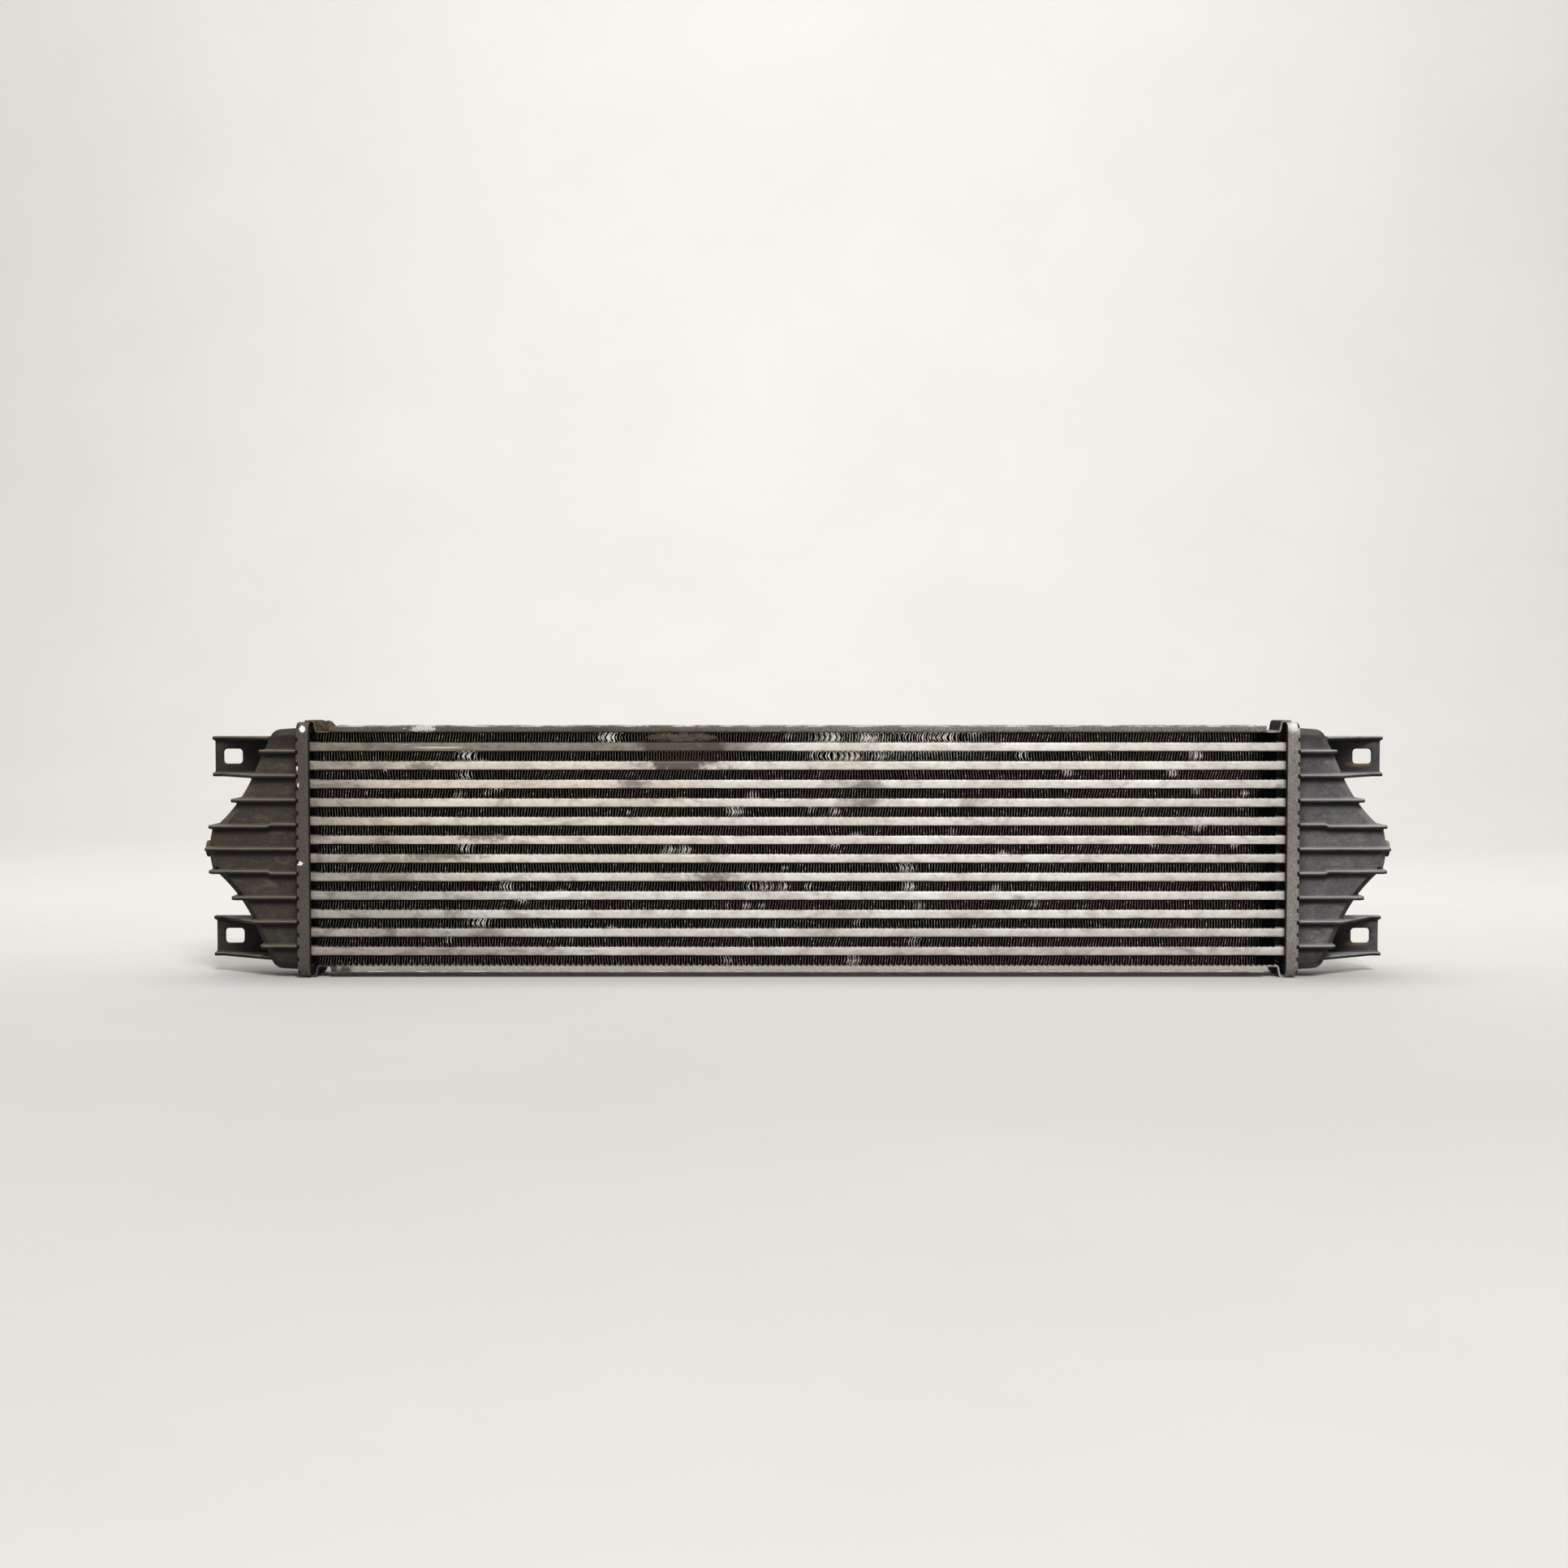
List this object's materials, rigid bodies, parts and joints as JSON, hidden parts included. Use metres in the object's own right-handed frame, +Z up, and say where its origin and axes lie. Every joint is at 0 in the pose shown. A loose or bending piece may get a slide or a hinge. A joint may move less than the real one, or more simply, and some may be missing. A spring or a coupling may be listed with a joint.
{
  "type": "charge-air cooler",
  "caption": "Flat tube-and-fin air cooler core between two ribbed plastic end tanks with rear hose necks, crimped metal headers and slotted mounting lugs.",
  "frame": {"origin": "centre of the bounding box's base, on the plane of the lower side plate's hooks", "axes": "+X along the tubes, +Y to the rear where the hose necks point, +Z up along the headers"},
  "size_m": [0.7586, 0.0786, 0.164],
  "materials": {
    "tube": "brazed mill-finish aluminium, weathered and dusty",
    "fin": "thin brazed fin stock, darkened by road dirt",
    "turbulator": "thin brazed fin stock, clean",
    "side_plate": "rolled aluminium sheet, stained, with bright scratches",
    "header": "pressed aluminium sheet, oxidised",
    "gasket": "moulded rubber",
    "tank": "glass-filled nylon, moulded, dusty"
  },
  "bodies": {
    "root": {"tube_01": "tube", "tube_02": "tube", "tube_03": "tube", "tube_04": "tube", "tube_05": "tube", "tube_06": "tube", "tube_07": "tube", "tube_08": "tube", "tube_09": "tube", "tube_10": "tube", "tube_11": "tube", "tube_12": "tube", "fin_strip_01": "fin", "fin_strip_02": "fin", "fin_strip_03": "fin", "fin_strip_04": "fin", "fin_strip_05": "fin", "fin_strip_06": "fin", "fin_strip_07": "fin", "fin_strip_08": "fin", "fin_strip_09": "fin", "fin_strip_10": "fin", "fin_strip_11": "fin", "fin_strip_12": "fin", "fin_strip_13": "fin", "turbulator_01": "turbulator", "turbulator_02": "turbulator", "turbulator_03": "turbulator", "turbulator_04": "turbulator", "turbulator_05": "turbulator", "turbulator_06": "turbulator", "turbulator_07": "turbulator", "turbulator_08": "turbulator", "turbulator_09": "turbulator", "turbulator_10": "turbulator", "turbulator_11": "turbulator", "turbulator_12": "turbulator", "side_plate_top": "side_plate", "side_plate_bottom": "side_plate", "header_left": "header", "header_right": "header", "gasket_left": "gasket", "gasket_right": "gasket", "tank_left": "tank", "tank_right": "tank"}
  },
  "joints": []
}
